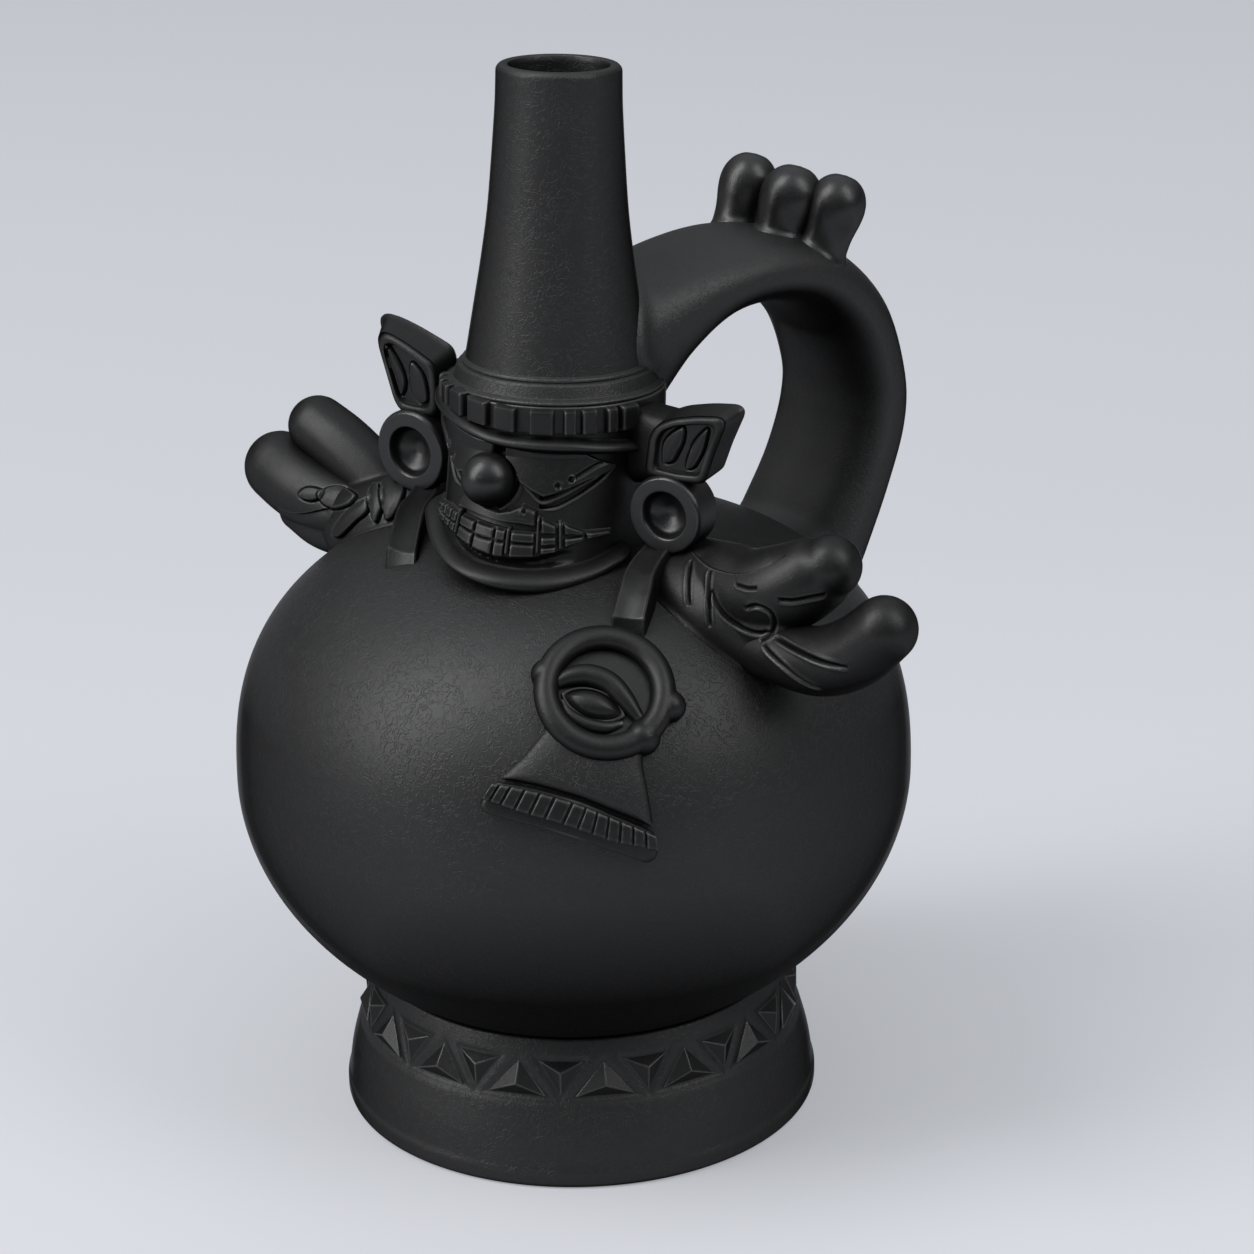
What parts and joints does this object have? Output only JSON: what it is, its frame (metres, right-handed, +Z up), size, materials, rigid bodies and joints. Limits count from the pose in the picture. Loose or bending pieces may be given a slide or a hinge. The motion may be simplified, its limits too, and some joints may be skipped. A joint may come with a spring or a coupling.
{
  "type": "ceramic bottle",
  "caption": "Black fired-clay bottle: round body on a flared foot with a pyramid frieze, a mask head under a tapered spout, winged shoulders and a loop handle with knobs.",
  "frame": {"origin": "centre of the overall box, on the plane the foot stands on", "axes": "+Z up along the turned body, -Y the way the mask looks, +Y towards the loop handle, +X to the right of someone who faces the mask"},
  "size_m": [0.1925, 0.1652, 0.2401],
  "materials": {
    "burnished_clay": "reduction-fired black clay, stone-burnished to a low sheen with fine strokes",
    "carved_clay": "reduction-fired black clay, carved leather-hard and left more matte in the cuts",
    "handled_clay": "reduction-fired black clay, smoothed by hand, a little glossier than the body"
  },
  "bodies": {
    "root": {"vessel_body": "burnished_clay", "foot_ring": "burnished_clay", "collar_ring": "burnished_clay", "spout": "burnished_clay", "nose_ball": "burnished_clay", "ear_spool_left": "burnished_clay", "ear_spool_right": "burnished_clay", "wing_upper_left": "burnished_clay", "wing_upper_right": "burnished_clay", "wing_lower_left": "burnished_clay", "wing_lower_right": "burnished_clay", "handle_knob_left": "burnished_clay", "handle_knob_centre": "burnished_clay", "handle_knob_right": "burnished_clay", "medallion_eye": "burnished_clay", "head_shell": "carved_clay", "headband": "carved_clay", "brow_roll": "carved_clay", "eyelid_left": "carved_clay", "eyelid_right": "carved_clay", "upper_lip": "carved_clay", "tooth_row": "carved_clay", "jaw_roll": "carved_clay", "ear_flange_left": "carved_clay", "ear_flange_right": "carved_clay", "ear_strap_left": "carved_clay", "ear_strap_right": "carved_clay", "wing_root_left": "carved_clay", "wing_root_right": "carved_clay", "medallion_ring": "carved_clay", "medallion_disc": "carved_clay", "medallion_lid": "carved_clay", "medallion_bell": "carved_clay", "medallion_hem": "carved_clay", "handle": "handled_clay"}
  },
  "joints": []
}
